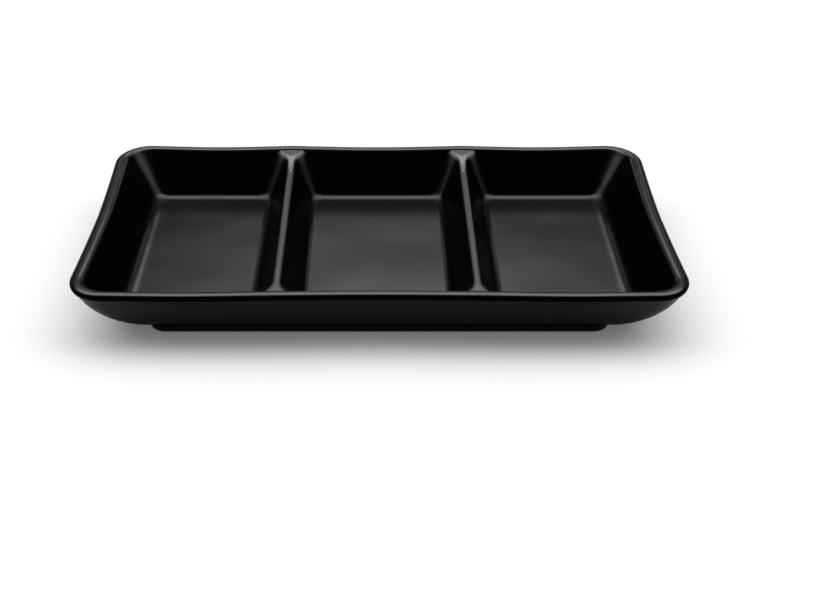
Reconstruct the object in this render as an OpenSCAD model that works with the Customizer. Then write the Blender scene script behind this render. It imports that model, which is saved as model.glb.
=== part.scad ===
// Divided serving dish: a tray with a rolled rim, two dividers that part it
// into three wells, and a foot ring. Matt black glazed stoneware, in millimetres.
// +X runs along the dish, +Y to its back and +Z up. The origin is on the table,
// under the middle of the dish.

/* [Dish] */
// Length over the rim
dish_l = 220; // [190:1:260]
// Depth over the rim, front to back
dish_w = 118.6; // [100:0.1:140]
// Height of the rim's highest points above the table
dish_h = 25.2; // [22:0.1:30]
// Thickness of the floor
floor_t = 4; // [3.5:0.1:5]
// Lean of the outer walls from upright, in degrees
wall_lean = 34.3; // [28:0.1:37]
// How far the outer walls stand proud of a straight slope
wall_bulge = 1.9; // [0:0.1:2.5]
// Radius of the edge between the outer walls and the base
base_round = 4.1; // [2:0.1:5]
// Corner radius of the base, seen from above
base_corner_r = 15.6; // [8:0.1:20]

/* [Rim] */
// Thickness of the rim along the front and the back
rim_t = 4; // [3:0.1:5]
// Thickness of the rim at the two ends
rim_end_t = 5.8; // [4:0.1:7]
// Height from the rim's widest point to its top
rim_round = 2; // [1.5:0.1:2.5]
// Corner radius of the rim, seen from above
rim_corner_r = 14.3; // [11:0.1:18]
// How far the middle of each end draws in
end_bow = 1.9; // [0:0.1:3]
// How far the middle of the back draws in
back_bow = 0.4; // [0:0.1:1]
// How far the back draws in beside each well
well_bow = 0.54; // [0:0.01:1]
// How far the front draws in beside the middle well
front_bow = 1; // [0:0.1:2]
// How far the rim falls from the dividers to the ends
end_drop = 0.2; // [0:0.05:0.6]
// How far the rim dips beside each well
well_dip = 0.4; // [0:0.01:0.8]

/* [Wells] */
// Lean of the wells' outer walls from upright, in degrees
well_lean = 35.4; // [28:0.1:38]
// Radius between a well's floor and its walls
well_round = 3; // [2:0.1:4]
// Corner radius of the floor, seen from above
floor_corner_r = 4.5; // [3:0.1:7]

/* [Dividers] */
// Distance between the dividers' middle lines
divider_gap = 71.7; // [60:0.5:84]
// How far the pair of dividers stands right of the dish's middle
divider_shift = -0.8; // [-2:0.1:2]
// How far the dividers' tops lie below the rim
divider_drop = 4.2; // [3:0.1:6]
// How far a divider's top rises on its way to the back rim
divider_rise = 2.9; // [0:0.1:3.4]
// Length of that rise
divider_rise_l = 22; // [15:1:40]
// Radius of a divider's rounded top
divider_top_r = 2.4; // [1.8:0.1:3]
// Lean of a divider's flanks from upright, in degrees
divider_lean = 29; // [22:0.5:33]
// Radius between a divider and the floor
divider_round = 3; // [2:0.1:4]
// Radius with which a divider's top curves up to the front rim
front_meet_r = 7; // [5:0.1:9]
// Radius with which a divider's top curves up to the back rim
back_meet_r = 1.1; // [1:0.1:4]
// Radius with which a divider's top widens into the front rim
front_flare_r = 10.5; // [6:0.1:12.5]
// Radius with which a divider's top widens into the back rim
back_flare_r = 5.5; // [4:0.1:8]

/* [Foot] */
// Height of the foot ring
foot_h = 3.5; // [2:0.1:4]
// Length over the foot ring
foot_l = 168; // [150:0.1:176]
// Depth over the foot ring, front to back
foot_w = 90; // [75:0.1:92]
// Width of the ring's standing face
foot_t = 4.5; // [3:0.1:5]
// Outer corner radius of the foot ring
foot_corner_r = 6.5; // [5.5:0.1:12]

/* [Hidden] */

GLAZE = [0.06, 0.06, 0.065];
BARE_CLAY = [0.12, 0.115, 0.11];

// Steps round a quarter of each outline: half an end, a corner and half a side
END_STEPS = 5;
CORNER_STEPS = 9;
SIDE_STEPS = 13;
// Steps along the wall's section
BASE_STEPS = 4;
WALL_STEPS = 4;
LIP_STEPS = 12;
SLOPE_STEPS = 6;
FILLET_STEPS = 4;
// Steps along a divider's run over the floor, and up its section
FLOOR_STEPS = 11;
TOP_STEPS = 4;
// Sides of a full circle at the foot's corners
FOOT_FN = 64;

// Thickness of the slip joint under each divider
joint = 0.1;
// Height of a divider's edges above the joint, where it runs out on floor and walls
toe = 0.25;
// Height of a divider's top above its edges, at the rim
top_end = 0.15;
// Ring of the lip, counted from its outer wall, on which a divider's top runs out
TOP_END_STEP = 12;
// Share of a divider's height that its straight flanks keep at least
FLANK_SHARE = 0.1;
// Share of a divider's rise towards the back in which it sets in
ONSET_SHARE = 0.35;
// Powers of the curves by which the rim draws in at its ends and beside the wells
END_POWER = 1.5;
WELL_POWER = 1.2;

half_l = dish_l / 2;
half_w = dish_w / 2;
rim_run = half_l - rim_corner_r;
side_p = rim_t / 2;
end_p = rim_end_t / 2;
floor_z = foot_h + floor_t;
lip_z = dish_h - rim_round;
left_x = divider_shift - divider_gap / 2;
right_x = divider_shift + divider_gap / 2;
divider_z = dish_h - divider_drop;

function mix(a, b, share) = a + (b - a) * share;
function clamp(t) = max(0, min(1, t));
function smooth(t) = t * t * (3 - 2 * t);
function set_in(t) =
    (t < ONSET_SHARE ? t * t / ONSET_SHARE : 2 * t - ONSET_SHARE) / (2 - ONSET_SHARE);

// Section of the wall, as [outward, up] from the rim's widest point, for a rim of half
// thickness p. A point of the rounded rim is found by the direction in which it faces.
function lip_point(p, facing) =
    let (h = norm([p * cos(facing), rim_round * sin(facing)]))
    [p * p * cos(facing) / h - p, lip_z + rim_round * rim_round * sin(facing) / h];

// Centre of the arc of radius r that runs on from a wall's upper end, at height z
function arc_centre(high, lean, r, z) =
    [high.x - r * cos(lean) - tan(lean) * (high.y - z + r * sin(lean)), z];

function base_point(p, facing) =
    arc_centre(lip_point(p, -wall_lean), wall_lean, base_round, foot_h + base_round)
        + base_round * [cos(facing), sin(facing)];

function fillet_point(p, facing) =
    arc_centre(lip_point(p, 180 - well_lean), well_lean, well_round, floor_z + well_round)
        - well_round * [cos(facing), sin(facing)];

function base_arc(p) = [for (i = [0:BASE_STEPS])
    base_point(p, mix(-90, -wall_lean, i / BASE_STEPS))];

function outer_wall(p) =
    let (low = base_point(p, -wall_lean), high = lip_point(p, -wall_lean))
    [for (i = [1:WALL_STEPS - 1])
        mix(low, high, i / WALL_STEPS)
            + wall_bulge * sin(180 * i / WALL_STEPS) * [cos(wall_lean), -sin(wall_lean)]];

function lip_arc(p) = [for (i = [0:LIP_STEPS])
    lip_point(p, mix(-wall_lean, 180 - well_lean, i / LIP_STEPS))];

function inner_wall(p) =
    let (high = lip_point(p, 180 - well_lean), low = fillet_point(p, 180 - well_lean))
    [for (i = [1:SLOPE_STEPS - 1]) mix(high, low, i / SLOPE_STEPS)];

function floor_arc(p) = [for (i = [0:FILLET_STEPS])
    fillet_point(p, mix(180 - well_lean, 90, i / FILLET_STEPS))];

function section(p) =
    concat(base_arc(p), outer_wall(p), lip_arc(p), inner_wall(p), floor_arc(p));

// Sections from the middle of an end, round a corner, to the middle of a side
sections = [for (i = [0:CORNER_STEPS]) section(mix(end_p, side_p, smooth(i / CORNER_STEPS)))];
ends = sections[0];
sides = sections[CORNER_STEPS];
RINGS = len(sides);
LIP_START = BASE_STEPS + WALL_STEPS;
LIP_END = LIP_START + LIP_STEPS;

// Corner radius of a ring, seen from above
function lip_corner_r(k) = rim_corner_r + (ends[k].x + sides[k].x) / 2;
function corner_r(k) =
    k < LIP_START ? mix(base_corner_r, lip_corner_r(LIP_START),
        (sides[k].y - foot_h) / (sides[LIP_START].y - foot_h))
    : k > LIP_END ? mix(floor_corner_r, lip_corner_r(LIP_END),
        (sides[k].y - floor_z) / (sides[LIP_END].y - floor_z))
    : lip_corner_r(k);

// How fully a ring follows the waves of the rim: not at all at the floor and below
function follow(k) = smooth(clamp((sides[k].y - floor_z) / (lip_z - floor_z)));

// The waves of the rim, by the place on its outline
function well_wave(x) =
    let (off = abs(x - divider_shift) - divider_gap / 2,
        run = x > divider_shift ? rim_run - right_x : rim_run + left_x,
        share = off < 0 ? -off / divider_gap : clamp(off / run))
    pow(sin(180 * share), WELL_POWER);

function end_wave(y) = 1 - pow(abs(y) / half_w, END_POWER);

function back_inset(x) = back_bow * max(0, 1 - pow(x / rim_run, 2)) + well_bow * well_wave(x);

function front_inset(x) = x > left_x && x < right_x ? front_bow * well_wave(x) : 0;

function side_inset(x, way) = way > 0 ? back_inset(x) : front_inset(x);

function end_inset(y) = end_bow * end_wave(y);

function drop(x) =
    end_drop * smooth(clamp((abs(x - divider_shift) - divider_gap / 2) / (half_l - divider_gap / 2)))
        + well_dip * well_wave(x);

function wave(place) =
    [-sign(place.x) * end_inset(place.y), -sign(place.y) * side_inset(place.x, place.y),
        -drop(place.x)];

// A quarter of an outline with half sizes a and b and corner radius r
function quarter(a, b, r) = concat(
    [for (i = [0:END_STEPS - 1]) [a, (b - r) * i / END_STEPS]],
    [for (i = [0:CORNER_STEPS - 1])
        let (turn = 90 * i / CORNER_STEPS)
        [a - r, b - r] + r * [cos(turn), sin(turn)]],
    [for (i = [0:SIDE_STEPS]) [(a - r) * (1 - i / SIDE_STEPS), b]]);

// Height of each point of a quarter of ring k
function quarter_z(k) = concat(
    [for (i = [0:END_STEPS - 1]) ends[k].y],
    [for (i = [0:CORNER_STEPS - 1]) sections[i][k].y],
    [for (i = [0:SIDE_STEPS]) sides[k].y]);

// The whole turn from a quarter of it, of points to be mirrored or of plain values
function around(list, mirrored) =
    let (n = len(list) - 1)
    concat([for (i = [0:n - 1]) list[i]],
        [for (i = [n:-1:1]) mirrored ? [-list[i].x, list[i].y] : list[i]],
        [for (i = [0:n - 1]) mirrored ? -list[i] : list[i]],
        [for (i = [n:-1:1]) mirrored ? [list[i].x, -list[i].y] : list[i]]);

rim_places = around(quarter(half_l, half_w, rim_corner_r), true);
RING_STEPS = len(rim_places);

function ring(k) =
    let (places = around(quarter(half_l + ends[k].x, half_w + sides[k].x, corner_r(k)), true),
        heights = around(quarter_z(k), false))
    [for (j = [0:RING_STEPS - 1])
        [places[j].x, places[j].y, heights[j]] + follow(k) * wave(rim_places[j])];

// Faces of a skin between lists of points, each of n, closed round or open
function skin(rows, n, closed, first) = [
    for (k = [0:rows - 2], j = [0:closed ? n - 1 : n - 2])
        let (a = first + k * n + j, b = first + k * n + (j + 1) % n)
        each [[a, a + n, b + n], [a, b + n, b]]];

module dish_body() {
    floor_start = (RINGS - 1) * RING_STEPS;
    base_middle = RINGS * RING_STEPS;
    caps = [for (j = [0:RING_STEPS - 1])
        let (next = (j + 1) % RING_STEPS)
        each [[base_middle, j, next], [base_middle + 1, floor_start + next, floor_start + j]]];
    color(GLAZE)
        polyhedron(
            concat([for (k = [0:RINGS - 1]) each ring(k)], [[0, 0, foot_h], [0, 0, floor_z]]),
            concat(skin(RINGS, RING_STEPS, true, 0), caps));
}

// A point on the joint under a divider: on ring k at the front or back, or on the floor
function wall_seat(k, x, way) =
    let (run = half_l + ends[k].x - corner_r(k), rim_x = x * rim_run / run)
    [x, way * (half_w + sides[k].x), sides[k].y]
        + follow(k) * [0, -way * side_inset(rim_x, way), -drop(rim_x)]
        + joint * [0, -way, 1];

WALL_SEATS = RINGS - LIP_START - TOP_END_STEP;
SEATS = 2 * WALL_SEATS + FLOOR_STEPS - 1;

function seat(s, x) =
    s < WALL_SEATS ? wall_seat(LIP_START + TOP_END_STEP + s, x, -1)
    : s >= SEATS - WALL_SEATS ? wall_seat(LIP_START + TOP_END_STEP + SEATS - 1 - s, x, 1)
    : let (edge = wall_seat(RINGS - 1, x, 1))
        [x, edge.y * mix(-1, 1, (s - WALL_SEATS + 1) / FLOOR_STEPS), edge.z];

// Section of a divider, from its top down one side, as [sideways, up from its edges]
function divider_section(rise) =
    let (round_sum = divider_top_r + divider_round,
        flank = max(rise - round_sum * (1 - sin(divider_lean)), FLANK_SHARE * rise),
        lean = asin(1 - (rise - flank) / round_sum),
        edge = round_sum * cos(lean) + flank * tan(lean))
    concat(
        [for (i = [0:TOP_STEPS])
            let (facing = mix(90, lean, i / TOP_STEPS))
            [divider_top_r * cos(facing), rise - divider_top_r * (1 - sin(facing))]],
        [for (i = [0:FILLET_STEPS])
            let (facing = mix(lean, 90, i / FILLET_STEPS))
            [edge - divider_round * cos(facing), divider_round * (1 - sin(facing))]]);

// What an arc of radius r has risen by at distance d from its end, where it has risen by h
function arc_rise(d, h, r) =
    let (run = sqrt(pow(r, 2) - pow(r - min(h, r), 2)), left = max(0, run - d))
    r - sqrt(pow(r, 2) - pow(left, 2));

// How much wider a divider's section is at distance d from its end at the rim
function flare(d, r) = 1 + arc_rise(d, r, r) / divider_top_r;

module divider(x) {
    end_y = abs(seat(0, x).y);
    end_z = seat(0, x).z + toe + top_end;
    halves = [for (s = [0:SEATS - 1])
        let (at = seat(s, x), d = end_y - abs(at.y), back = at.y > 0,
            slope_z = divider_z + divider_rise * set_in(clamp(1 - d / divider_rise_l)),
            level = back ? slope_z : divider_z,
            end_level = back ? divider_z + divider_rise : divider_z,
            top_z = level + arc_rise(d, end_z - end_level, back ? back_meet_r : front_meet_r),
            rise = max(top_end, top_z - at.z - toe))
        [for (p = divider_section(rise)) [p.x * flare(d, back ? back_flare_r : front_flare_r), p.y]]];
    n = 2 * len(halves[0]) - 1;
    half_n = len(halves[0]) - 1;
    tops = [for (s = [0:SEATS - 1], i = [-half_n:half_n])
        let (p = halves[s][abs(i)], at = seat(s, x + sign(i) * p.x))
        at + [0, 0, toe + p.y]];
    bottoms = [for (s = [0:SEATS - 1], i = [half_n:-1:-half_n])
        seat(s, x + sign(i) * halves[s][abs(i)].x)];
    lower = SEATS * n;
    edges = [for (s = [0:SEATS - 2])
        let (a = s * n, b = lower + s * n)
        each [
            [a, b + n - 1, b + 2 * n - 1], [a, b + 2 * n - 1, a + n],
            [b, a + n - 1, a + 2 * n - 1], [b, a + 2 * n - 1, b + n]]];
    last_row = (SEATS - 1) * n;
    caps = [for (i = [0:n - 2])
        let (a = i, b = lower + n - 1 - i)
        each [[a, a + 1, b - 1], [a, b - 1, b],
            [last_row + a + 1, last_row + a, last_row + b],
            [last_row + a + 1, last_row + b, last_row + b - 1]]];
    color(GLAZE)
        polyhedron(concat(tops, bottoms),
            concat(skin(SEATS, n, false, 0), skin(SEATS, n, false, lower), edges, caps));
}

module left_divider() {
    divider(left_x);
}

module right_divider() {
    divider(right_x);
}

module rounded_plate(l, w, h, r) {
    for (along = [-1, 1], across = [-1, 1])
        translate([along * (l / 2 - r), across * (w / 2 - r), 0])
            cylinder(h = h, r = r, $fn = FOOT_FN);
    for (size = [[l, w - 2 * r], [l - 2 * r, w]])
        translate([-size.x / 2, -size.y / 2, 0])
            cube([size.x, size.y, h]);
}

module foot_ring() {
    color(BARE_CLAY)
        difference() {
            rounded_plate(foot_l, foot_w, foot_h, foot_corner_r);
            translate([0, 0, -foot_h])
                rounded_plate(foot_l - 2 * foot_t, foot_w - 2 * foot_t, 3 * foot_h,
                    foot_corner_r - foot_t);
        }
}

dish_body();
left_divider();
right_divider();
foot_ring();
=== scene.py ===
"""A divided serving dish in satin black stoneware: its glazed surfaces, studio and camera."""

import math

import bmesh
import bpy
import numpy as np
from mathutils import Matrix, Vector


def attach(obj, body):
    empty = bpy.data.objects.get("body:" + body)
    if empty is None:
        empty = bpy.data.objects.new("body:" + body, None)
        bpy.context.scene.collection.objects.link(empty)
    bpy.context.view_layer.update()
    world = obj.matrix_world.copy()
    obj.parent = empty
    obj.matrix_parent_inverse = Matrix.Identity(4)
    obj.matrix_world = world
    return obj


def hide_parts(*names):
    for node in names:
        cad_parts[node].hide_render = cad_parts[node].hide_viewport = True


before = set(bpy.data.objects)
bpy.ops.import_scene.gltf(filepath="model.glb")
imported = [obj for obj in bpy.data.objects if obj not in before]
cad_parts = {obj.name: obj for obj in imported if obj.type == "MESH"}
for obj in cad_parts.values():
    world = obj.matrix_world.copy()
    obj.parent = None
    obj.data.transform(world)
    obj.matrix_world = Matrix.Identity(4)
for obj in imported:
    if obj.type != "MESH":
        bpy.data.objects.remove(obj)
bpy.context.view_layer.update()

bl_info = {
    "name": "Divided serving dish",
    "version": (1, 0, 0),
    "blender": (4, 5, 0),
    "location": "View3D > Sidebar > Dish",
    "description": "Models a stoneware dish with three wells and sets it in a plain studio",
    "category": "Object",
}

MM = 0.001

# Steps round a quarter of an outline: half an end, a corner and half a side
END_STEPS, CORNER_STEPS, SIDE_STEPS = 12, 22, 42
# Steps along the wall's section
BASE_STEPS, WALL_STEPS, TUCK_STEPS, LIP_STEPS, SLOPE_STEPS, FILLET_STEPS = 6, 9, 5, 26, 6, 9
# Faces along and across a divider
DIVIDER_ROWS, DIVIDER_COLUMNS = 170, 60
# How strongly a divider's columns gather at its top
GATHER = 1.35
# Halvings of the interval in which a height is sought
HALVINGS = 34
# Powers of the curves by which the rim draws in at its ends and beside the wells
END_POWER, WELL_POWER = 1.5, 1.2
# How much of a curve that eases in and out a divider's rise towards the back takes
EASED = 0.85
# Steps round the foot ring's edges
FOOT_STEPS = 5
# Edges sharper than this stay sharp in the shading
SMOOTH_ANGLE = math.radians(40)
# Width of the flat border inside the edges of the base and the floor
BORDER = 1.5 * MM

# Name of the material that all glazed pieces share
GLAZE = "satin_black_glaze"
# Patterns in the glaze and the clay: how often each repeats in a metre, its detail and roughness
CLOUDS, PATCHES, PEEL, SWELL = (55, 3, 0.5), (160, 4, 0.6), (900, 2, 0.5), (28, 1, 0.5)
GRAIN, STAINS = (1800, 3, 0.7), (120, 3, 0.5)
# Middle of a pattern's values, and of a lamp's width, which both run from 0 to 1
MIDDLE = 0.5
# How much the clouds and the patches change the glaze's roughness
CLOUD_GLOSS, PATCH_GLOSS = 0.04, 0.03
# Heights of the waviness, the orange peel and the clay's grain
SWELL_HIGH, PEEL_HIGH, GRAIN_HIGH = 0.35 * MM, 0.004 * MM, 0.05 * MM
# Spans over which the painted highlights on the rim's top, the dividers' tops and where they meet
# the back set in, from where they are absent to where they are full. Heights count from the rim's
# top or the dividers' tops, and a surface faces up or onward by 0 to 1
RIM_HIGHLIGHT_HEIGHT = (-1.6 * MM, -0.3 * MM)
RIDGE_HIGHLIGHT_HEIGHT, RIDGE_HIGHLIGHT_END, RIDGE_HIGHLIGHT_UP = (-1 * MM, -0.2 * MM), (1.5 * MM, 2.6 * MM), (0.8, 0.97)
JOINT_HIGHLIGHT_HEIGHT, JOINT_HIGHLIGHT_END, JOINT_HIGHLIGHT_UP = (-0.4 * MM, 1.4 * MM), (2 * MM, 2.9 * MM), (0.8, 0.94)
# The painted highlight where a divider meets the back, by the distance from the divider's middle
# line
JOINT_HIGHLIGHT_ASIDE = (6.5 * MM, 2.5 * MM)
# Painted shade: a darker, duller copy of the glaze on surfaces that face up by about this much, and
# how far from that it turns satin
STEEP_SHADE, STEEP_SHADE_END = 0.25, (0.32, 0.6)
# Painted shade in the fillets along the front and the back, which dims their highlight: the spans
# over which it sets in, by how far a surface faces onward and by its height above the table, and
# how much of the darker, duller copy it mixes in
FILLET_SHADE_ONWARD, FILLET_SHADE_HEIGHT, FILLET_SHADE_SHARE = (0.1, 0.4), (14 * MM, 10 * MM), 0.45
# The line to which the foot ring is wiped: its waver, and the heights over which the glaze sets in
WIPE_WAVER, WIPE_HEIGHT = 0.5 * MM, (0.5 * MM, 0.8 * MM)
# Brightness of the darkest stains in the clay, as a share of its colour
STAIN_DARK = 0.7

# Side of the table top in metres, and where it brightens in reflections, from the dish's middle
TABLE_SIDE, TABLE_BESIDE = 6, (70 * MM, 112 * MM)
# Where the dish sees the backdrop and the cards: how far aside, behind and above it, by 0 to 1
BACKDROP_ASIDE, BEHIND = 0.02, (0, 0.4)
BACKDROP_FOOT, BACKDROP_TOP, BACKDROP_SIDE = (0.47, 0.63), (0.64, 0.8), (0.05, 0.24)
CARD_FOOT, CARD_TOP = (0.22, 0.3), (0.38, 0.46)
CARD_INNER, CARD_OUTER = (0.12, 0.2), (0.34, 0.44)


def length(name, description, millimetres):
    return bpy.props.FloatProperty(
        name=name, description=description, default=millimetres * MM, unit="LENGTH", precision=5)


def angle(name, description, degrees):
    return bpy.props.FloatProperty(
        name=name, description=description, default=math.radians(degrees), subtype="ANGLE")


def colour(name, description, rgb):
    return bpy.props.FloatVectorProperty(
        name=name, description=description, default=rgb, size=3, min=0, max=1, subtype="COLOR")


def number(name, description, value):
    return bpy.props.FloatProperty(name=name, description=description, default=value)


class DishSizes(bpy.types.PropertyGroup):
    """Sizes of the dish"""

    long: length("Length", "Length over the rim", 219.98)
    deep: length("Depth", "Depth over the rim, front to back", 118.59)
    high: length("Height", "Height of the rim's highest points above the table", 25.185)
    floor: length("Floor thickness", "Thickness of the floor", 4)
    wall_lean: angle("Wall lean", "Lean of the outer walls from upright", 34.3)
    wall_bulge: length("Wall bulge", "How far the outer walls stand proud of a straight slope", 1.9)
    base_round: length("Base rounding", "Radius of the edge between the walls and the base", 4.1)
    base_corner: length("Base corner", "Corner radius of the base, seen from above", 12)
    rim: length("Rim thickness", "Thickness of the rim along the front and the back", 4)
    rim_end: length("End rim thickness", "Thickness of the rim at the two ends", 5.8)
    rim_round: length("Rim rounding", "Height from the rim's widest point to its top", 2)
    rim_corner: length("Rim corner", "Corner radius of the rim, seen from above", 14.3)
    tuck: angle("Rim tuck", "How far the rim turns under before it meets the wall", 58)
    tuck_round: length("Tuck rounding", "Radius of the hollow under the rim", 0.9)
    end_bow: length("End bow", "How far the middle of each end draws in", 1.9)
    back_bow: length("Back bow", "How far the middle of the back draws in", 0.4)
    well_bow: length("Well bow", "How far the back draws in beside each well", 0.54)
    front_bow: length("Front bow", "How far the front draws in beside the middle well", 1)
    end_drop: length("End drop", "How far the rim falls from the dividers to the ends", 0.2)
    well_dip: length("Well dip", "How far the rim dips beside each well", 0.4)
    well_lean: angle("Well lean", "Lean of the wells' outer walls from upright", 35.4)
    well_round: length("Well rounding", "Radius between a well's floor and the sides", 3.6)
    end_round: length("End well rounding", "Radius between a well's floor and the end walls", 6)
    floor_corner: length("Floor corner", "Corner radius of the floor, seen from above", 4.5)
    divider_gap: length("Divider spacing", "Distance between the dividers' middle lines", 71.7)
    divider_shift: length("Divider shift", "How far right of the middle the dividers stand", -0.8)
    divider_drop: length("Divider drop", "How far the dividers' tops lie below the rim", 4.2)
    divider_top: length("Divider top", "Radius of a divider's rounded top", 2.4)
    divider_lean: angle("Divider lean", "Lean of a divider's flanks from upright", 29)
    divider_round: length("Divider foot rounding", "Radius between a divider and the floor", 3)
    rise: length("Rise", "How far a divider's top rises on its way to the back rim", 2.9)
    rise_run: length("Rise length", "Length of that rise", 14)
    front_meet: length(
        "Front meeting", "Radius with which a divider's top curves up to the front rim", 7)
    back_meet: length(
        "Back meeting", "Radius with which a divider's top curves up to the back rim", 1.1)
    front_flare: length(
        "Front flare", "Radius with which a divider's top widens into the front rim", 10.5)
    back_flare: length(
        "Back flare", "Radius with which a divider's top widens into the back rim", 5.5)
    seat: length("Seat", "How deep a divider is set into the dish", 1.2)
    foot_high: length("Foot height", "Height of the foot ring", 3.5)
    foot_long: length("Foot length", "Length over the foot ring", 168)
    foot_deep: length("Foot depth", "Depth over the foot ring, front to back", 90)
    foot_face: length("Foot face", "Width of the ring's standing face", 4.5)
    foot_corner: length("Foot corner", "Outer corner radius of the foot ring", 6.5)
    foot_flare: length("Foot flare", "How far the foot ring spreads where it meets the base", 1.6)
    foot_round: length("Foot rounding", "Radius of the foot ring's lower edges", 0.4)


class GlazeLook(bpy.types.PropertyGroup):
    """Colours and gloss of the glaze and the clay"""

    black: colour("Glaze", "Colour of the black glaze", (0.0012, 0.0012, 0.0013))
    # Painted highlight along the rim's top, in a lighter colour
    thin: colour(
        "Thin glaze", "Colour of the glaze where it runs thin on the rim",
        (0.007, 0.0068, 0.0065))
    # Painted highlight on the dividers' up-facing tops, in a lighter colour
    ridge: colour(
        "Ridge glaze", "Colour of the glaze where it runs thin on the dividers",
        (0.024, 0.0236, 0.0232))
    # Painted highlight where the dividers meet the back, in a lighter colour
    joint_highlight: colour(
        "Joint glaze", "Colour of the glaze where the dividers meet the back",
        (0.078, 0.077, 0.0755))
    # Painted shade on steep sides and in the front and back fillets, in a darker colour
    deep: colour("Deep glaze", "Colour of the glaze on steep sides", (0.0004, 0.0004, 0.00045))
    clay: colour(
        "Clay", "Colour of the fired clay where the glaze is wiped off", (0.06, 0.054, 0.048))
    ior: number("Glaze IOR", "Refractive index of the glaze", 1.47)
    # The copy of the glaze that paints shade on steep sides reflects less and is rougher
    steep_ior: number(
        "Steep glaze IOR", "Refractive index of the matter glaze on steep sides", 1.09)
    roughness: number("Roughness", "Roughness of the satin glaze", 0.19)
    steep_roughness: number("Steep roughness", "How much rougher the glaze is on steep sides", 0.1)
    # A second coat that brightens the painted highlight where the dividers meet the back
    joint_coat: number(
        "Joint coat", "Strength of the second coat where the dividers meet the back", 0.9)
    joint_roughness: number("Joint roughness", "Roughness of that second coat", 0.2)
    clay_roughness: number("Clay roughness", "Roughness of the bare clay", 0.85)


class StageLook(bpy.types.PropertyGroup):
    """Studio and camera"""

    box_light: number("Softbox", "Brightness of the softbox over the dish", 4.7)
    box_away: length("Softbox distance", "Distance from the dish to the softbox", 8000)
    box_wide: angle("Softbox width", "Width of the softbox, seen from the dish", 140)
    box_deep: angle("Softbox depth", "Depth of the softbox, front to back, seen from the dish", 77)
    box_tilt: angle(
        "Softbox tilt", "How far behind the point straight above the softbox stands", 7.5)
    rear_fade: number(
        "Softbox rear fade", "Share of the softbox's depth over which its rear edge fades", 0.55)
    side_fade: number(
        "Softbox side fade", "Share of its width over which each of its sides fades", 0.4)
    front_fade: number(
        "Softbox front fade", "Share of its depth over which its front edge fades", 0.35)
    glow: number("Backdrop glow", "Brightness of the lit backdrop behind the dish", 3.05)
    glow_fall: number(
        "Backdrop falloff", "How much darker the backdrop is towards its sides", 0.75)
    card: number(
        "Side cards", "Brightness of the low cards behind the dish on both sides", 0.55)
    room: number("Room", "Brightness of the room around", 0.02)
    fill: number(
        "Fill", "Brightness of the soft light from all sides on matt surfaces", 0.6)
    floor_white: number("Table top", "Brightness of the table top's colour", 0.41)
    floor_glow: number(
        "Table glow", "Light that the table top adds in the camera's view", 0.1)
    floor_flag: number(
        "Table in the glaze", "How bright it is in reflections near the dish's middle", 0.21)
    floor_side: number(
        "Table beside the dish", "How bright it is in reflections beside the dish", 0.42)
    floor_shine: number("Table shine", "Light that the table top adds in reflections", 0.023)
    lens: number("Lens", "Focal length of the camera, in millimetres", 54.55)
    shift_across: number(
        "Shift across", "How far the lens is shifted across, in widths of the picture", 0.0492)
    shift_up: number(
        "Shift up", "How far the lens is shifted up, in widths of the picture", -0.0546)
    camera_high: length("Camera height", "Height of the camera above the table", 260.04)
    camera_front: length(
        "Camera distance", "How far the camera stands in front of the dish's middle", 424.71)
    camera_side: length(
        "Camera offset", "How far right of the middle the camera stands", -1.18)
    camera_pitch: angle("Camera pitch", "How far the camera looks down", 31)


def mix(a, b, share):
    return a + (b - a) * share


def smooth(share):
    share = np.clip(share, 0, 1)
    return share * share * (3 - 2 * share)


def set_in(share):
    """A rise that sets in gently and eases before its end, from 0 to 1"""
    return smooth(EASED * np.clip(share, 0, 1)) / smooth(EASED)


def set_in_slope():
    """How steeply such a rise ends"""
    return 6 * EASED**2 * (1 - EASED) / smooth(EASED)


def arc(centre, radius, start, end, steps):
    """Points on an arc, by the directions in which they face, as [outward, up]"""
    facing = np.linspace(start, end, steps + 1)
    return np.column_stack([centre[0] + radius * np.cos(facing),
                            centre[1] + radius * np.sin(facing)])


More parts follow.
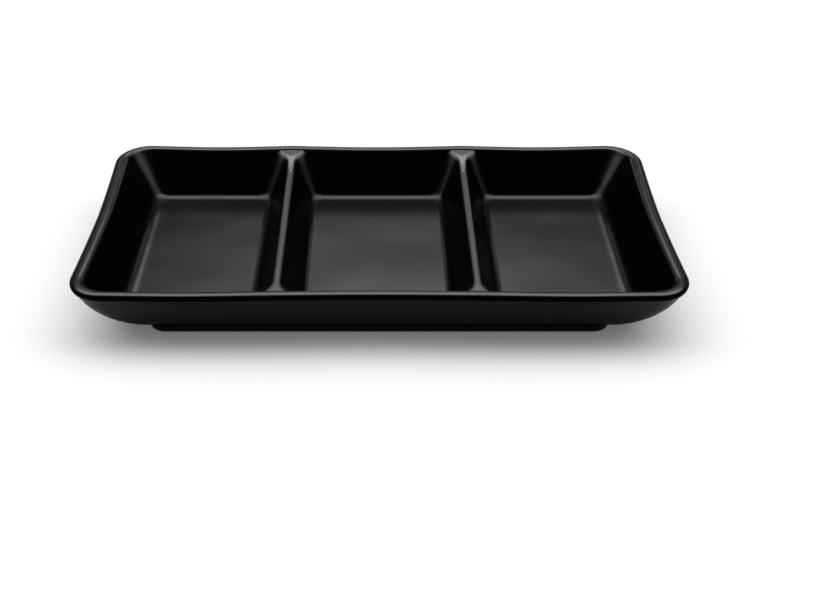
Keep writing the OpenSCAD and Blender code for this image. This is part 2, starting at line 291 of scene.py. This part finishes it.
class Form:
    """The shape of the dish, worked out from its sizes"""

    def __init__(self, sizes):
        self.s = sizes
        self.half_l = sizes.long / 2
        self.half_w = sizes.deep / 2
        self.run = self.half_l - sizes.rim_corner
        self.floor_z = sizes.foot_high + sizes.floor
        self.lip_z = sizes.high - sizes.rim_round
        self.crest_z = sizes.high - sizes.divider_drop
        self.divider_x = [sizes.divider_shift + way * sizes.divider_gap / 2
                          for way in (-1, 1)]
        turns = smooth(np.arange(CORNER_STEPS + 1) / CORNER_STEPS)
        self.sections = [self.section(mix(sizes.rim_end, sizes.rim, turn) / 2,
                                      mix(sizes.end_round, sizes.well_round, turn))
                         for turn in turns]
        self.ends, self.sides = self.sections[0], self.sections[-1]
        self.corner_r = self.corner_radii()
        self.follow = self.following(self.sides[:, 1])
        inner = slice(len(self.sides) - 1, self.lip_top - 1, -1)
        self.level = self.sides[inner, 1]
        self.level_out = self.sides[inner, 0]
        self.level_run = (self.half_l + self.ends[:, 0] - self.corner_r)[inner]

    def lip_point(self, p, facing):
        """A point of the rim of half thickness p, as [outward, up] from its widest point"""
        r = self.s.rim_round
        h = np.hypot(p * np.cos(facing), r * np.sin(facing))
        return np.stack([p * p * np.cos(facing) / h - p,
                         self.lip_z + r * r * np.sin(facing) / h], -1)

    def arc_centre(self, high, lean, radius, z):
        """Centre, at height z, of the arc that runs on from a wall whose upper end is given"""
        rise = high[1] - z + radius * math.sin(lean)
        return np.array([high[0] - radius * math.cos(lean) - math.tan(lean) * rise, z])

    def section(self, p, round_r):
        """Section of the wall, as [outward, up], from the base over the rim, of half thickness p,
        to the floor, which it meets with the radius round_r"""
        s = self.s
        high = self.lip_point(p, -s.wall_lean)
        centre = self.arc_centre(high, s.wall_lean, s.base_round, s.foot_high + s.base_round)
        chord = np.hypot(*(high - centre))
        bend = math.atan(math.pi * s.wall_bulge / chord)
        base = arc(centre, s.base_round, -math.pi / 2, -s.wall_lean - bend, BASE_STEPS)
        lip_start = self.lip_point(p, -s.tuck)
        hollow = lip_start + s.tuck_round * np.array([math.cos(s.tuck), -math.sin(s.tuck)])
        tuck = 2 * hollow - arc(hollow, s.tuck_round, -s.wall_lean + bend, -s.tuck, TUCK_STEPS)
        wall = self.wall_curve(base[-1], tuck[0], s.wall_lean + bend, s.wall_lean - bend)
        lip = self.lip_point(p, np.linspace(-s.tuck, math.pi - s.well_lean, LIP_STEPS + 1))
        facing = math.pi - s.well_lean
        centre = self.arc_centre(lip[-1], s.well_lean, round_r, self.floor_z + round_r)
        fillet = 2 * centre - arc(centre, round_r, facing, math.pi / 2, FILLET_STEPS)
        shares = np.linspace(0, 1, SLOPE_STEPS + 1)[1:-1, None]
        slope = mix(lip[-1], fillet[0], shares)
        self.lip_start = BASE_STEPS + WALL_STEPS + TUCK_STEPS
        self.lip_end = self.lip_start + LIP_STEPS
        self.lip_top = self.lip_start + int(np.argmax(lip[:, 1]))
        return np.concatenate([base, wall, tuck[:-1], lip, slope, fillet])

    def wall_curve(self, low, high, low_lean, high_lean):
        """The bulging wall between two points, by its lean from upright at each"""
        t = np.linspace(0, 1, WALL_STEPS + 1)[1:-1, None]
        chord = np.hypot(*(high - low))
        leave = chord * np.array([math.sin(low_lean), math.cos(low_lean)])
        arrive = chord * np.array([math.sin(high_lean), math.cos(high_lean)])
        return ((2 * t**3 - 3 * t**2 + 1) * low + (t**3 - 2 * t**2 + t) * leave
                + (3 * t**2 - 2 * t**3) * high + (t**3 - t**2) * arrive)

    def corner_radii(self):
        """Corner radius of each ring of the section, seen from above"""
        s, z = self.s, self.sides[:, 1]
        lip = s.rim_corner + (self.ends[:, 0] + self.sides[:, 0]) / 2
        start, end = self.lip_start, self.lip_end
        outer = mix(s.base_corner, lip[start], (z - s.foot_high) / (z[start] - s.foot_high))
        inner = mix(s.floor_corner, lip[end], (z - self.floor_z) / (z[end] - self.floor_z))
        k = np.arange(len(z))
        return np.where(k < start, outer, np.where(k > end, inner, lip))

    def following(self, z):
        """How fully a level follows the waves of the rim"""
        return smooth((z - self.floor_z) / (self.lip_z - self.floor_z))

    def well_wave(self, x):
        """The rim's wave, from 0 at the dividers and corners to 1 halfway along each well"""
        off = np.abs(x - self.s.divider_shift) - self.s.divider_gap / 2
        left, right = self.divider_x
        reach = np.where(x > self.s.divider_shift, self.run - right, self.run + left)
        share = np.where(off < 0, -off / self.s.divider_gap, np.clip(off / reach, 0, 1))
        return np.abs(np.sin(np.pi * share)) ** WELL_POWER

    def side_inset(self, x, y):
        """How far the front (y < 0) or the back draws in"""
        wave = self.well_wave(x)
        middle = np.abs(x - self.s.divider_shift) < self.s.divider_gap / 2
        back = self.s.back_bow * np.maximum(0, 1 - (x / self.run) ** 2) + self.s.well_bow * wave
        return np.where(y > 0, back, self.s.front_bow * wave * middle)

    def end_inset(self, y):
        """How far the ends draw in"""
        return self.s.end_bow * (1 - (np.abs(y) / self.half_w) ** END_POWER)

    def drop(self, x):
        """How far the rim lies below its highest points"""
        past = np.abs(x - self.s.divider_shift) - self.s.divider_gap / 2
        fall = smooth(past / (self.half_l - self.s.divider_gap / 2))
        return self.s.end_drop * fall + self.s.well_dip * self.well_wave(x)

    def rings(self):
        """The rings of the body, from the edge of its base over the rim to the edge of its floor"""
        rim = around(quarter(self.half_l, self.half_w, self.s.rim_corner))
        wave = np.column_stack([-np.sign(rim[:, 0]) * self.end_inset(rim[:, 1]),
                                -np.sign(rim[:, 1]) * self.side_inset(rim[:, 0], rim[:, 1]),
                                -self.drop(rim[:, 0])])
        for k in range(len(self.sides)):
            places = around(quarter(self.half_l + self.ends[k, 0],
                                    self.half_w + self.sides[k, 0], self.corner_r[k]))
            heights = np.concatenate([np.full(END_STEPS, self.ends[k, 1]),
                                      [self.sections[i][k, 1] for i in range(CORNER_STEPS)],
                                      np.full(SIDE_STEPS + 1, self.sides[k, 1])])
            turned = np.concatenate([heights[:-1], heights[:0:-1]])
            yield np.column_stack([places, np.tile(turned, 2)]) + self.follow[k] * wave

    def rim_x(self, x, z):
        """Where along the rim a place x along the wall at level z belongs"""
        return x * self.run / np.interp(z, self.level, self.level_run)

    def wall_y(self, z, x, y):
        """How far from the middle the inside of the front (y < 0) or back wall is at level z"""
        inset = self.following(z) * self.side_inset(self.rim_x(x, z), y)
        return self.half_w + np.interp(z, self.level, self.level_out) - inset

    def seek(self, low, high, inside):
        """The level between low and high above which a point is inside the opening"""
        low, high = np.broadcast_arrays(low, high)
        low, high = low.copy(), high.copy()
        for _ in range(HALVINGS):
            middle = (low + high) / 2
            free = inside(middle)
            high = np.where(free, middle, high)
            low = np.where(free, low, middle)
        return high

    def tray_level(self, x, y):
        """Level of the dish's inner surface, as if it had no dividers"""
        level = self.seek(self.floor_z, self.s.high + 0 * x,
                          lambda z: self.wall_y(z, x, y) > np.abs(y))
        return np.where(self.wall_y(self.floor_z, x, y) >= np.abs(y), self.floor_z, level)

    def half_width(self, z, crest):
        """Half width of a divider at level z, under a top at level crest"""
        s = self.s
        lean, top, foot = s.divider_lean, s.divider_top, s.divider_round
        depth, height = np.maximum(crest - z, 0), np.maximum(z - self.floor_z, 0)
        shoulder = top * (1 - math.sin(lean))
        rounded = np.sqrt(np.maximum(top**2 - (top - np.minimum(depth, top)) ** 2, 0))
        straight = top * math.cos(lean) + (depth - shoulder) * math.tan(lean)
        width = np.where(depth < shoulder, rounded, straight)
        low = np.minimum(height, foot * (1 - math.sin(lean)))
        toe = foot * math.tan(math.pi / 4 - lean / 2) - np.sqrt(foot**2 - (foot - low) ** 2)
        return width + toe + low * math.tan(lean)

    def pocket_r(self, z, y):
        """Radius at level z between a divider's flank and the front (y < 0) or the back wall"""
        share = np.clip((z - self.floor_z) / (self.crest_z - self.floor_z), 0, 1)
        flare = np.where(y > 0, self.s.back_flare, self.s.front_flare)
        return mix(self.s.floor_corner, flare, share)

    def meeting(self, x, back):
        """The arc by which a divider's top curves up to the rim: where the arc has its low point,
        where it leaves the slope and where it meets the rim, its radius and its low level"""
        s = self.s
        r, rise = (s.back_meet, s.rise) if back else (s.front_meet, 0)
        pitch = math.atan(set_in_slope() * rise / s.rise_run)
        low = self.crest_z + rise - r * (1 - math.cos(pitch))
        rim_y = self.half_w - s.rim / 2 - self.side_inset(x, 1 if back else -1)
        reach = math.sqrt((r + s.rim_round) ** 2 - (low + r - self.lip_z) ** 2)
        starts = rim_y - reach
        leaves = starts + r * math.sin(pitch)
        meets = rim_y - reach * s.rim_round / (r + s.rim_round)
        return starts, leaves, meets, r, low

    def crest(self, x, y, tray):
        """Level of a divider's top, which rises towards the back and curves up to the rim"""
        back, front = self.meeting(x, True), self.meeting(x, False)
        starts, leaves, meets, radii, lows = (np.where(y > 0, b, f) for b, f in zip(back, front))
        rise_end = back[1]
        slope = self.crest_z + self.s.rise * set_in(1 + (y - rise_end) / self.s.rise_run)
        along = np.clip(np.abs(y) - starts, 0, radii)
        top = np.where(np.abs(y) < leaves, slope, lows + radii - np.sqrt(radii**2 - along**2))
        return np.where(np.abs(y) < meets, np.maximum(top, tray), tray)

    def divider_level(self, off, x, y):
        """Level of the surface near a divider, at a distance off from its middle line"""
        crest = self.crest(x, y, self.tray_level(x, y))

        def opening(z):
            r = self.pocket_r(z, y)
            aside = off - self.half_width(z, crest)
            along = self.wall_y(z, x, y) - np.abs(y)
            rounded = r - np.hypot(r - aside, r - along)
            return np.where((aside < r) & (along < r), rounded, np.minimum(aside, along)) > 0

        level = self.seek(self.floor_z + 0 * x, crest, opening)
        level = np.where(opening(self.floor_z), self.floor_z, level)
        return np.where(opening(crest), level, crest)

    def spread(self, x, y):
        """How far from its middle line a divider reaches before it runs out on floor and walls"""
        tray = self.tray_level(x, y)
        r = self.pocket_r(tray, y)
        along = np.clip(self.wall_y(self.floor_z, x, y) - np.abs(y), 0, r)
        crest = self.crest(x, y, tray)
        return self.half_width(tray, crest) + r - np.sqrt(r**2 - (r - along) ** 2)

    def height(self, level, x):
        """Height of a level, once the waves of the rim are followed"""
        return level - self.following(level) * self.drop(self.rim_x(x, level))


def quarter(a, b, r):
    """A quarter of an outline with half sizes a and b and corner radius r"""
    turn = np.arange(CORNER_STEPS) * (math.pi / 2 / CORNER_STEPS)
    end = np.column_stack([np.full(END_STEPS, a),
                           np.linspace(0, b - r, END_STEPS, endpoint=False)])
    corner = np.column_stack([a - r + r * np.cos(turn), b - r + r * np.sin(turn)])
    side = np.column_stack([np.linspace(a - r, 0, SIDE_STEPS + 1), np.full(SIDE_STEPS + 1, b)])
    return np.concatenate([end, corner, side])


def around(points):
    """The whole outline from a quarter of it"""
    half = np.concatenate([points[:-1], points[:0:-1] * [-1, 1]])
    return np.concatenate([half, -half])


def start_piece(name):
    """Names the object that a primitive has just added, and enters edit mode"""
    piece = bpy.context.object
    piece.name = piece.data.name = name
    bpy.ops.object.mode_set(mode="EDIT")
    return piece


def clear_selection():
    """Leaves edit mode and deselects everything"""
    if bpy.context.object and bpy.context.object.mode != "OBJECT":
        bpy.ops.object.mode_set(mode="OBJECT")
    bpy.ops.object.select_all(action="DESELECT")


def place_selected(piece, points):
    """Puts each selected vertex at the point that its number on the outline names"""
    mesh = bmesh.from_edit_mesh(piece.data)
    number_layer = mesh.verts.layers.int["number"]
    for vertex in mesh.verts:
        if vertex.select:
            vertex.co = points[vertex[number_layer]]
    bmesh.update_edit_mesh(piece.data)


def number_outline(piece):
    """Numbers a circle's vertices round it"""
    mesh = bmesh.from_edit_mesh(piece.data)
    layer = mesh.verts.layers.int.new("number")
    turned = sorted(mesh.verts, key=lambda v: math.atan2(v.co.y, v.co.x) % (2 * math.pi))
    for i, vertex in enumerate(turned):
        vertex[layer] = i
    bmesh.update_edit_mesh(piece.data)


def loft(name, rings, closed=False):
    """A piece extruded from ring to ring, capped at both ends or closed on itself"""
    rings = list(rings)
    clear_selection()
    bpy.ops.mesh.primitive_circle_add(
        vertices=len(rings[0]), radius=1, fill_type="NOTHING" if closed else "NGON")
    piece = start_piece(name)
    number_outline(piece)
    place_selected(piece, rings[0])
    for ring in rings[1:]:
        if closed:
            bpy.ops.mesh.extrude_edges_move()
        else:
            bpy.ops.mesh.extrude_region_move()
        place_selected(piece, ring)
    if closed:
        bpy.ops.mesh.select_all(action="DESELECT")
        bpy.ops.mesh.select_non_manifold()
        bpy.ops.mesh.bridge_edge_loops()
    return finish_piece(piece)


def finish_piece(piece):
    """Leaves edit mode with faces outwards, smooth but for the sharp edges"""
    bpy.ops.mesh.select_all(action="SELECT")
    bpy.ops.mesh.normals_make_consistent(inside=False)
    bpy.ops.object.mode_set(mode="OBJECT")
    bpy.ops.object.shade_smooth_by_angle(angle=SMOOTH_ANGLE)
    for layer in [a for a in piece.data.attributes if a.name == "number"]:
        piece.data.attributes.remove(layer)
    return piece


def dress(piece, material, node):
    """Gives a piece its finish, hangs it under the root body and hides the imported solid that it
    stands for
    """
    piece.data.materials.clear()
    piece.data.materials.append(material)
    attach(piece, "root")
    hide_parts(node)


class Value:
    """A socket's value, on which Python's operators add Math nodes"""

    def __init__(self, nodes, socket):
        self.nodes, self.socket = nodes, socket

    def _math(self, operation, a, b):
        return self.nodes.add("ShaderNodeMath", {"operation": operation}, {0: a, 1: b})

    def __add__(self, other):
        return self._math("ADD", self, other)

    def __sub__(self, other):
        return self._math("SUBTRACT", self, other)

    def __rsub__(self, other):
        return self._math("SUBTRACT", other, self)

    def __mul__(self, other):
        return self._math("MULTIPLY", self, other)

    __radd__, __rmul__ = __add__, __mul__


class Nodes:
    """The nodes of a material, a lamp or the world"""

    def __init__(self, owner):
        owner.use_nodes = True
        self.tree = owner.node_tree
        self.tree.nodes.clear()

    def add(self, kind, settings=None, inputs=None, output=0):
        """Adds a node, makes its settings, then sets or links its sockets"""
        node = self.tree.nodes.new(kind)
        for name, value in (settings or {}).items():
            setattr(node, name, value)
        for name, value in (inputs or {}).items():
            if isinstance(value, Value):
                self.tree.links.new(value.socket, node.inputs[name])
            else:
                node.inputs[name].default_value = value
        return Value(self, node.outputs[output]) if node.outputs else node

    def magnitude(self, value):
        """The value without its sign"""
        return self.add("ShaderNodeMath", {"operation": "ABSOLUTE"}, {0: value})

    def parts(self, vector, axes):
        """The named parts of a vector, each as a value"""
        return (self.add("ShaderNodeSeparateXYZ", {}, {0: vector}, output=axis) for axis in axes)

    def smoothstep(self, value, span, origin=0):
        """A mask that sets in from 0 to 1 over a span of the value, counted from the origin"""
        low, high = span
        return self.add("ShaderNodeMapRange", {"interpolation_type": "SMOOTHSTEP"},
                        {"Value": value, "From Min": origin + low, "From Max": origin + high})

    def between(self, value, start, end, origin=0):
        """A mask that sets in over one span of the value and ends over another"""
        return (self.smoothstep(value, start, origin)
                * (1 - self.smoothstep(value, end, origin)))

    def noise(self, place, pattern):
        scale, detail, roughness = pattern
        return self.add("ShaderNodeTexNoise", {}, {
            "Vector": place, "Scale": scale, "Detail": detail, "Roughness": roughness})

    def colours(self, factor, a, b):
        """A mix of two colours, b where the factor is 1"""
        return self.add("ShaderNodeMix", {"data_type": "RGBA"}, {0: factor, 6: a, 7: b}, output=2)

    def bump(self, height, distance, normal=None):
        """A relief of the given height, on top of another where its normal is given"""
        inputs = {"Height": height, "Distance": distance}
        if normal:
            inputs["Normal"] = normal
        return self.add("ShaderNodeBump", {}, inputs)


def opaque(rgb):
    return (*rgb, 1.0)


def glaze_material(look, sizes):
    """Satin black glaze with clouds in its gloss, a soft waviness and orange peel. Lighter colours
    on the rim's top, the dividers' tops and where they meet the back are painted highlights; a
    darker, duller copy on steep sides and in the front and back fillets is painted shade"""
    skin = bpy.data.materials.new(GLAZE)
    nodes = Nodes(skin)
    place = nodes.add("ShaderNodeTexCoord", output="Object")
    along, height = nodes.parts(place, "XZ")
    cloud, patch, peel, swell = (
        nodes.noise(place, pattern) for pattern in (CLOUDS, PATCHES, PEEL, SWELL))
    facing = nodes.add("ShaderNodeTexCoord", output="Normal")
    onward, upward = nodes.parts(facing, "YZ")
    crest = sizes.high - sizes.divider_drop
    from_middle = nodes.magnitude(along - sizes.divider_shift)
    from_divider = nodes.magnitude(from_middle - sizes.divider_gap / 2)

    # Painted highlight: a lighter, patchy colour along the rim's top
    edge = nodes.smoothstep(height, RIM_HIGHLIGHT_HEIGHT, sizes.high) * patch
    # Painted highlight: a lighter colour on the dividers' up-facing tops
    ridge = (nodes.between(height, RIDGE_HIGHLIGHT_HEIGHT, RIDGE_HIGHLIGHT_END, crest)
             * nodes.smoothstep(upward, RIDGE_HIGHLIGHT_UP))
    # Painted highlight, with a coat: a lighter colour where the dividers rise into the back rim
    joint_highlight = (nodes.between(height, JOINT_HIGHLIGHT_HEIGHT, JOINT_HIGHLIGHT_END, crest)
             * nodes.smoothstep(upward, JOINT_HIGHLIGHT_UP) * nodes.smoothstep(from_divider, JOINT_HIGHLIGHT_ASIDE))
    base = nodes.colours(edge, opaque(look.black), opaque(look.thin))
    base = nodes.colours(ridge, base, opaque(look.ridge))
    base = nodes.colours(joint_highlight, base, opaque(look.joint_highlight))

    bump = nodes.bump(peel, PEEL_HIGH, nodes.bump(swell, SWELL_HIGH))
    gloss = (cloud * CLOUD_GLOSS + patch * PATCH_GLOSS
             + (look.roughness - MIDDLE * (CLOUD_GLOSS + PATCH_GLOSS)))
    satin = nodes.add("ShaderNodeBsdfPrincipled", {}, {
        "Base Color": base, "Roughness": gloss, "IOR": look.ior, "Normal": bump,
        "Coat Weight": joint_highlight * look.joint_coat, "Coat Roughness": look.joint_roughness})
    # Painted shade: a darker, duller copy of the glaze for steep sides and the front and back
    # fillets
    matt = nodes.add("ShaderNodeBsdfPrincipled", {}, {
        "Base Color": opaque(look.deep), "Roughness": gloss + look.steep_roughness,
        "IOR": look.steep_ior, "Normal": bump})
    # Painted shade in the front and back fillets, which dims their highlight
    fillet_shade = (nodes.smoothstep(nodes.magnitude(onward), FILLET_SHADE_ONWARD)
              * nodes.smoothstep(height, FILLET_SHADE_HEIGHT))
    # Where the darker, duller copy takes over: painted shade on steep sides and in the fillets
    away = nodes.smoothstep(nodes.magnitude(upward - STEEP_SHADE), STEEP_SHADE_END) * (1 - fillet_shade * FILLET_SHADE_SHARE)
    surface = nodes.add("ShaderNodeMixShader", {}, {0: away, 1: matt, 2: satin})
    nodes.add("ShaderNodeOutputMaterial", {}, {"Surface": surface})
    return skin


def clay_material(look):
    """Black glaze wiped off the standing face, where the dark clay shows"""
    skin = bpy.data.materials.new("wiped_foot_clay")
    nodes = Nodes(skin)
    place = nodes.add("ShaderNodeTexCoord", output="Object")
    height, = nodes.parts(place, "Z")
    grain, stain = (nodes.noise(place, pattern) for pattern in (GRAIN, STAINS))
    line = height + (stain - MIDDLE) * WIPE_WAVER
    glazed = nodes.smoothstep(line, WIPE_HEIGHT)
    stained = opaque([STAIN_DARK * part for part in look.clay])
    clay = nodes.colours(stain, stained, opaque(look.clay))
    surface = nodes.add("ShaderNodeBsdfPrincipled", {}, {
        "Base Color": nodes.colours(glazed, clay, opaque(look.black)),
        "Roughness": glazed * (look.roughness - look.clay_roughness) + look.clay_roughness,
        "Normal": nodes.bump((1 - glazed) * grain, GRAIN_HIGH)})
    nodes.add("ShaderNodeOutputMaterial", {}, {"Surface": surface})
    return skin


def glaze(scene):
    """The glaze that all glazed pieces share"""
    made = bpy.data.materials.get(GLAZE)
    return made or glaze_material(scene.glaze_look, scene.dish_sizes)


class DISH_OT_body(bpy.types.Operator):
    """Models the tray with its rolled rim"""

    bl_idname = "dish.body"
    bl_label = "Dish body"

    def execute(self, context):
        rings = list(Form(context.scene.dish_sizes).rings())
        half_sizes = np.abs(rings[0][:, :2]).max(0)
        inwards = np.append(1 - BORDER / half_sizes, 1)
        rings = [rings[0] * inwards, *rings, rings[-1] * inwards]
        dress(loft("tray_with_rolled_rim", rings), glaze(context.scene), "dish_body")
        return {"FINISHED"}


class DISH_OT_dividers(bpy.types.Operator):
    """Models the two dividers, which blend into the floor, the walls and the rim"""

    bl_idname = "dish.dividers"
    bl_label = "Dividers"

    def execute(self, context):
        form = Form(context.scene.dish_sizes)
        for node, x in zip(("left_divider", "right_divider"), form.divider_x):
            piece = self.divider(form, node + "_ridge", x)
            dress(piece, glaze(context.scene), node)
        return {"FINISHED"}

    def divider(self, form, name, middle):
        """One divider about its middle line: a grid for its top and flanks, extruded down to the
        seat that it is set into"""
        clear_selection()
        bpy.ops.mesh.primitive_grid_add(
            x_subdivisions=DIVIDER_COLUMNS, y_subdivisions=DIVIDER_ROWS, size=2)
        piece = start_piece(name)
        across, along = self.shares(piece)
        back, front = (form.meeting(middle, back=way)[2] for way in (True, False))
        y = np.where(along > 0, back, front) * np.sin(along * math.pi / 2)
        reach = np.sign(across) * np.abs(across) ** GATHER * form.spread(np.full_like(y, middle), y)
        x = middle + reach
        level = form.divider_level(np.abs(reach), x, y)
        self.place(piece, x, y, form.height(level, x))
        bpy.ops.mesh.extrude_region_move()
        self.place(piece, x, y, form.height(form.tray_level(x, y), x) - form.s.seat)
        return finish_piece(piece)

    def shares(self, piece):
        """Where each vertex of the grid lies, from -1 to 1 across and along the divider"""
        mesh = bmesh.from_edit_mesh(piece.data)
        layer = mesh.verts.layers.int.new("number")
        for i, vertex in enumerate(mesh.verts):
            vertex[layer] = i
        spots = np.array([vertex.co for vertex in mesh.verts])
        bmesh.update_edit_mesh(piece.data)
        return spots[:, 0], spots[:, 1]

    def place(self, piece, x, y, z):
        place_selected(piece, [Vector(point) for point in zip(x, y, z)])


class DISH_OT_foot(bpy.types.Operator):
    """Models the foot ring, with rounded lower edges, spreading outwards under the base"""

    bl_idname = "dish.foot"
    bl_label = "Foot ring"

    def execute(self, context):
        sizes = context.scene.dish_sizes
        rings = [self.ring(sizes, inset, z) for inset, z in self.section(sizes)]
        dress(loft("foot_ring_under_base", rings, closed=True),
              clay_material(context.scene.glaze_look), "foot_ring")
        return {"FINISHED"}

    def section(self, sizes):
        """The ring's section, as inset from its outline and height, down from the base and up"""
        r, face, high = sizes.foot_round, sizes.foot_face, sizes.foot_high
        turn = np.linspace(0, math.pi / 2, FOOT_STEPS + 1)
        outer = [(r * (1 - math.cos(a)), r * (1 - math.sin(a))) for a in turn]
        inner = [(face - inset, z) for inset, z in reversed(outer)]
        spread = [(-sizes.foot_flare * (1 - math.sin(a)), high * (1 + math.cos(a)) / 2)
                  for a in turn]
        top = high + r
        return [(-sizes.foot_flare, top), *spread, *outer, *inner, (face, high / 2), (face, top)]

    def ring(self, sizes, inset, z):
        places = around(quarter(sizes.foot_long / 2 - inset, sizes.foot_deep / 2 - inset,
                                sizes.foot_corner - inset))
        return np.column_stack([places, np.full(len(places), z)])


class DISH_OT_stage(bpy.types.Operator):
    """Sets the table top, the light and the camera"""

    bl_idname = "dish.stage"
    bl_label = "Studio"

    def execute(self, context):
        look = context.scene.stage_look
        self.table(look)
        self.light(look)
        self.room(context, look)
        self.camera(context, look)
        context.scene.view_settings.view_transform = "Standard"
        return {"FINISHED"}

    def table(self, look):
        """A white table top that is dimmer in reflections, most so near the dish's middle"""
        clear_selection()
        bpy.ops.mesh.primitive_plane_add(size=TABLE_SIDE)
        table = bpy.context.object
        table.name = "table_top"
        top = bpy.data.materials.new("white_table_top")
        nodes = Nodes(top)
        camera = nodes.add("ShaderNodeLightPath", output="Is Camera Ray")
        glossy = nodes.add("ShaderNodeLightPath", output="Is Glossy Ray")
        along, = nodes.parts(nodes.add("ShaderNodeTexCoord", output="Object"), "X")
        beside = nodes.smoothstep(nodes.magnitude(along), TABLE_BESIDE)
        seen, near, aside = (opaque([look.floor_white * share] * 3)
                             for share in (1, look.floor_flag, look.floor_side))
        mirrored = nodes.colours(beside, near, aside)
        matt = nodes.add("ShaderNodeBsdfDiffuse", {}, {
            "Color": nodes.colours(glossy, seen, mirrored)})
        glow = nodes.add("ShaderNodeEmission", {}, {
            "Strength": camera * look.floor_glow + glossy * look.floor_shine})
        both = nodes.add("ShaderNodeAddShader", {}, {0: matt, 1: glow})
        nodes.add("ShaderNodeOutputMaterial", {}, {"Surface": both})
        table.data.materials.append(top)

    def light(self, look):
        """A wide softbox over the dish, whose edges fade"""
        box = bpy.data.lights.new("softbox", "AREA")
        box.shape = "RECTANGLE"
        box.size = 2 * look.box_away * math.tan(look.box_wide / 2)
        box.size_y = 2 * look.box_away * math.tan(look.box_deep / 2)
        box.energy = look.box_light * math.pi * box.size * box.size_y
        nodes = Nodes(box)
        across, rear = nodes.parts(nodes.add("ShaderNodeNewGeometry", output="Parametric"), "XY")
        from_middle = nodes.magnitude(across - MIDDLE)
        fade = (nodes.smoothstep(rear, (1, 1 - look.rear_fade))
                * nodes.smoothstep(rear, (0, look.front_fade))
                * nodes.smoothstep(from_middle, (MIDDLE, MIDDLE - look.side_fade)))
        surface = nodes.add("ShaderNodeEmission", {}, {"Strength": fade})
        nodes.add("ShaderNodeOutputLight", {}, {"Surface": surface})
        lamp = bpy.data.objects.new("softbox", box)
        bpy.context.collection.objects.link(lamp)
        tilt, away = look.box_tilt, look.box_away
        lamp.rotation_euler = (-tilt, 0, 0)
        lamp.location = (0, away * math.sin(tilt), away * math.cos(tilt))
        lamp.visible_camera = False

    def room(self, context, look):
        """A white backdrop for the camera; for the dish, a dim room with a lit backdrop and two
        low cards behind, and a fill for matt surfaces"""
        world = context.scene.world or bpy.data.worlds.new("room")
        context.scene.world = world
        nodes = Nodes(world)
        camera = nodes.add("ShaderNodeLightPath", output="Is Camera Ray")
        diffuse = nodes.add("ShaderNodeLightPath", output="Is Diffuse Ray")
        way = nodes.add("ShaderNodeTexCoord", output="Generated")
        aside, behind, above = nodes.parts(way, "XYZ")
        off_centre = nodes.magnitude(aside - BACKDROP_ASIDE)
        backdrop = (nodes.between(above, BACKDROP_FOOT, BACKDROP_TOP)
                    * (1 - nodes.smoothstep(off_centre, BACKDROP_SIDE) * look.glow_fall))
        cards = (nodes.between(off_centre, CARD_INNER, CARD_OUTER)
                 * nodes.between(above, CARD_FOOT, CARD_TOP))
        lit = nodes.smoothstep(behind, BEHIND) * (backdrop * look.glow + cards * look.card)
        strength = camera + (1 - camera) * (lit + look.room + diffuse * look.fill)
        sky = nodes.add("ShaderNodeBackground", {}, {
            "Color": opaque((1, 1, 1)), "Strength": strength})
        nodes.add("ShaderNodeOutputWorld", {}, {"Surface": sky})

    def camera(self, context, look):
        camera = bpy.data.cameras.new("camera")
        camera.lens = look.lens
        camera.shift_x, camera.shift_y = look.shift_across, look.shift_up
        eye = bpy.data.objects.new("camera", camera)
        context.collection.objects.link(eye)
        eye.location = (look.camera_side, -look.camera_front, look.camera_high)
        eye.rotation_euler = (math.pi / 2 - look.camera_pitch, 0, 0)
        context.scene.camera = eye


class DISH_PT_panel(bpy.types.Panel):
    """The steps that make the dish"""

    bl_label = "Divided serving dish"
    bl_space_type = "VIEW_3D"
    bl_region_type = "UI"
    bl_category = "Dish"

    def draw(self, context):
        for step in STEPS:
            self.layout.operator(step.bl_idname)


STEPS = (DISH_OT_body, DISH_OT_dividers, DISH_OT_foot, DISH_OT_stage)
SETTINGS = {"dish_sizes": DishSizes, "glaze_look": GlazeLook, "stage_look": StageLook}


def register():
    for name, group in SETTINGS.items():
        bpy.utils.register_class(group)
        setattr(bpy.types.Scene, name, bpy.props.PointerProperty(type=group))
    for kind in (*STEPS, DISH_PT_panel):
        bpy.utils.register_class(kind)


def unregister():
    for kind in (*STEPS, DISH_PT_panel):
        bpy.utils.unregister_class(kind)
    for name, group in SETTINGS.items():
        delattr(bpy.types.Scene, name)
        bpy.utils.unregister_class(group)


def main():
    register()
    bpy.ops.dish.body()
    bpy.ops.dish.dividers()
    bpy.ops.dish.foot()
    bpy.ops.dish.stage()


if __name__ == "__main__":
    main()
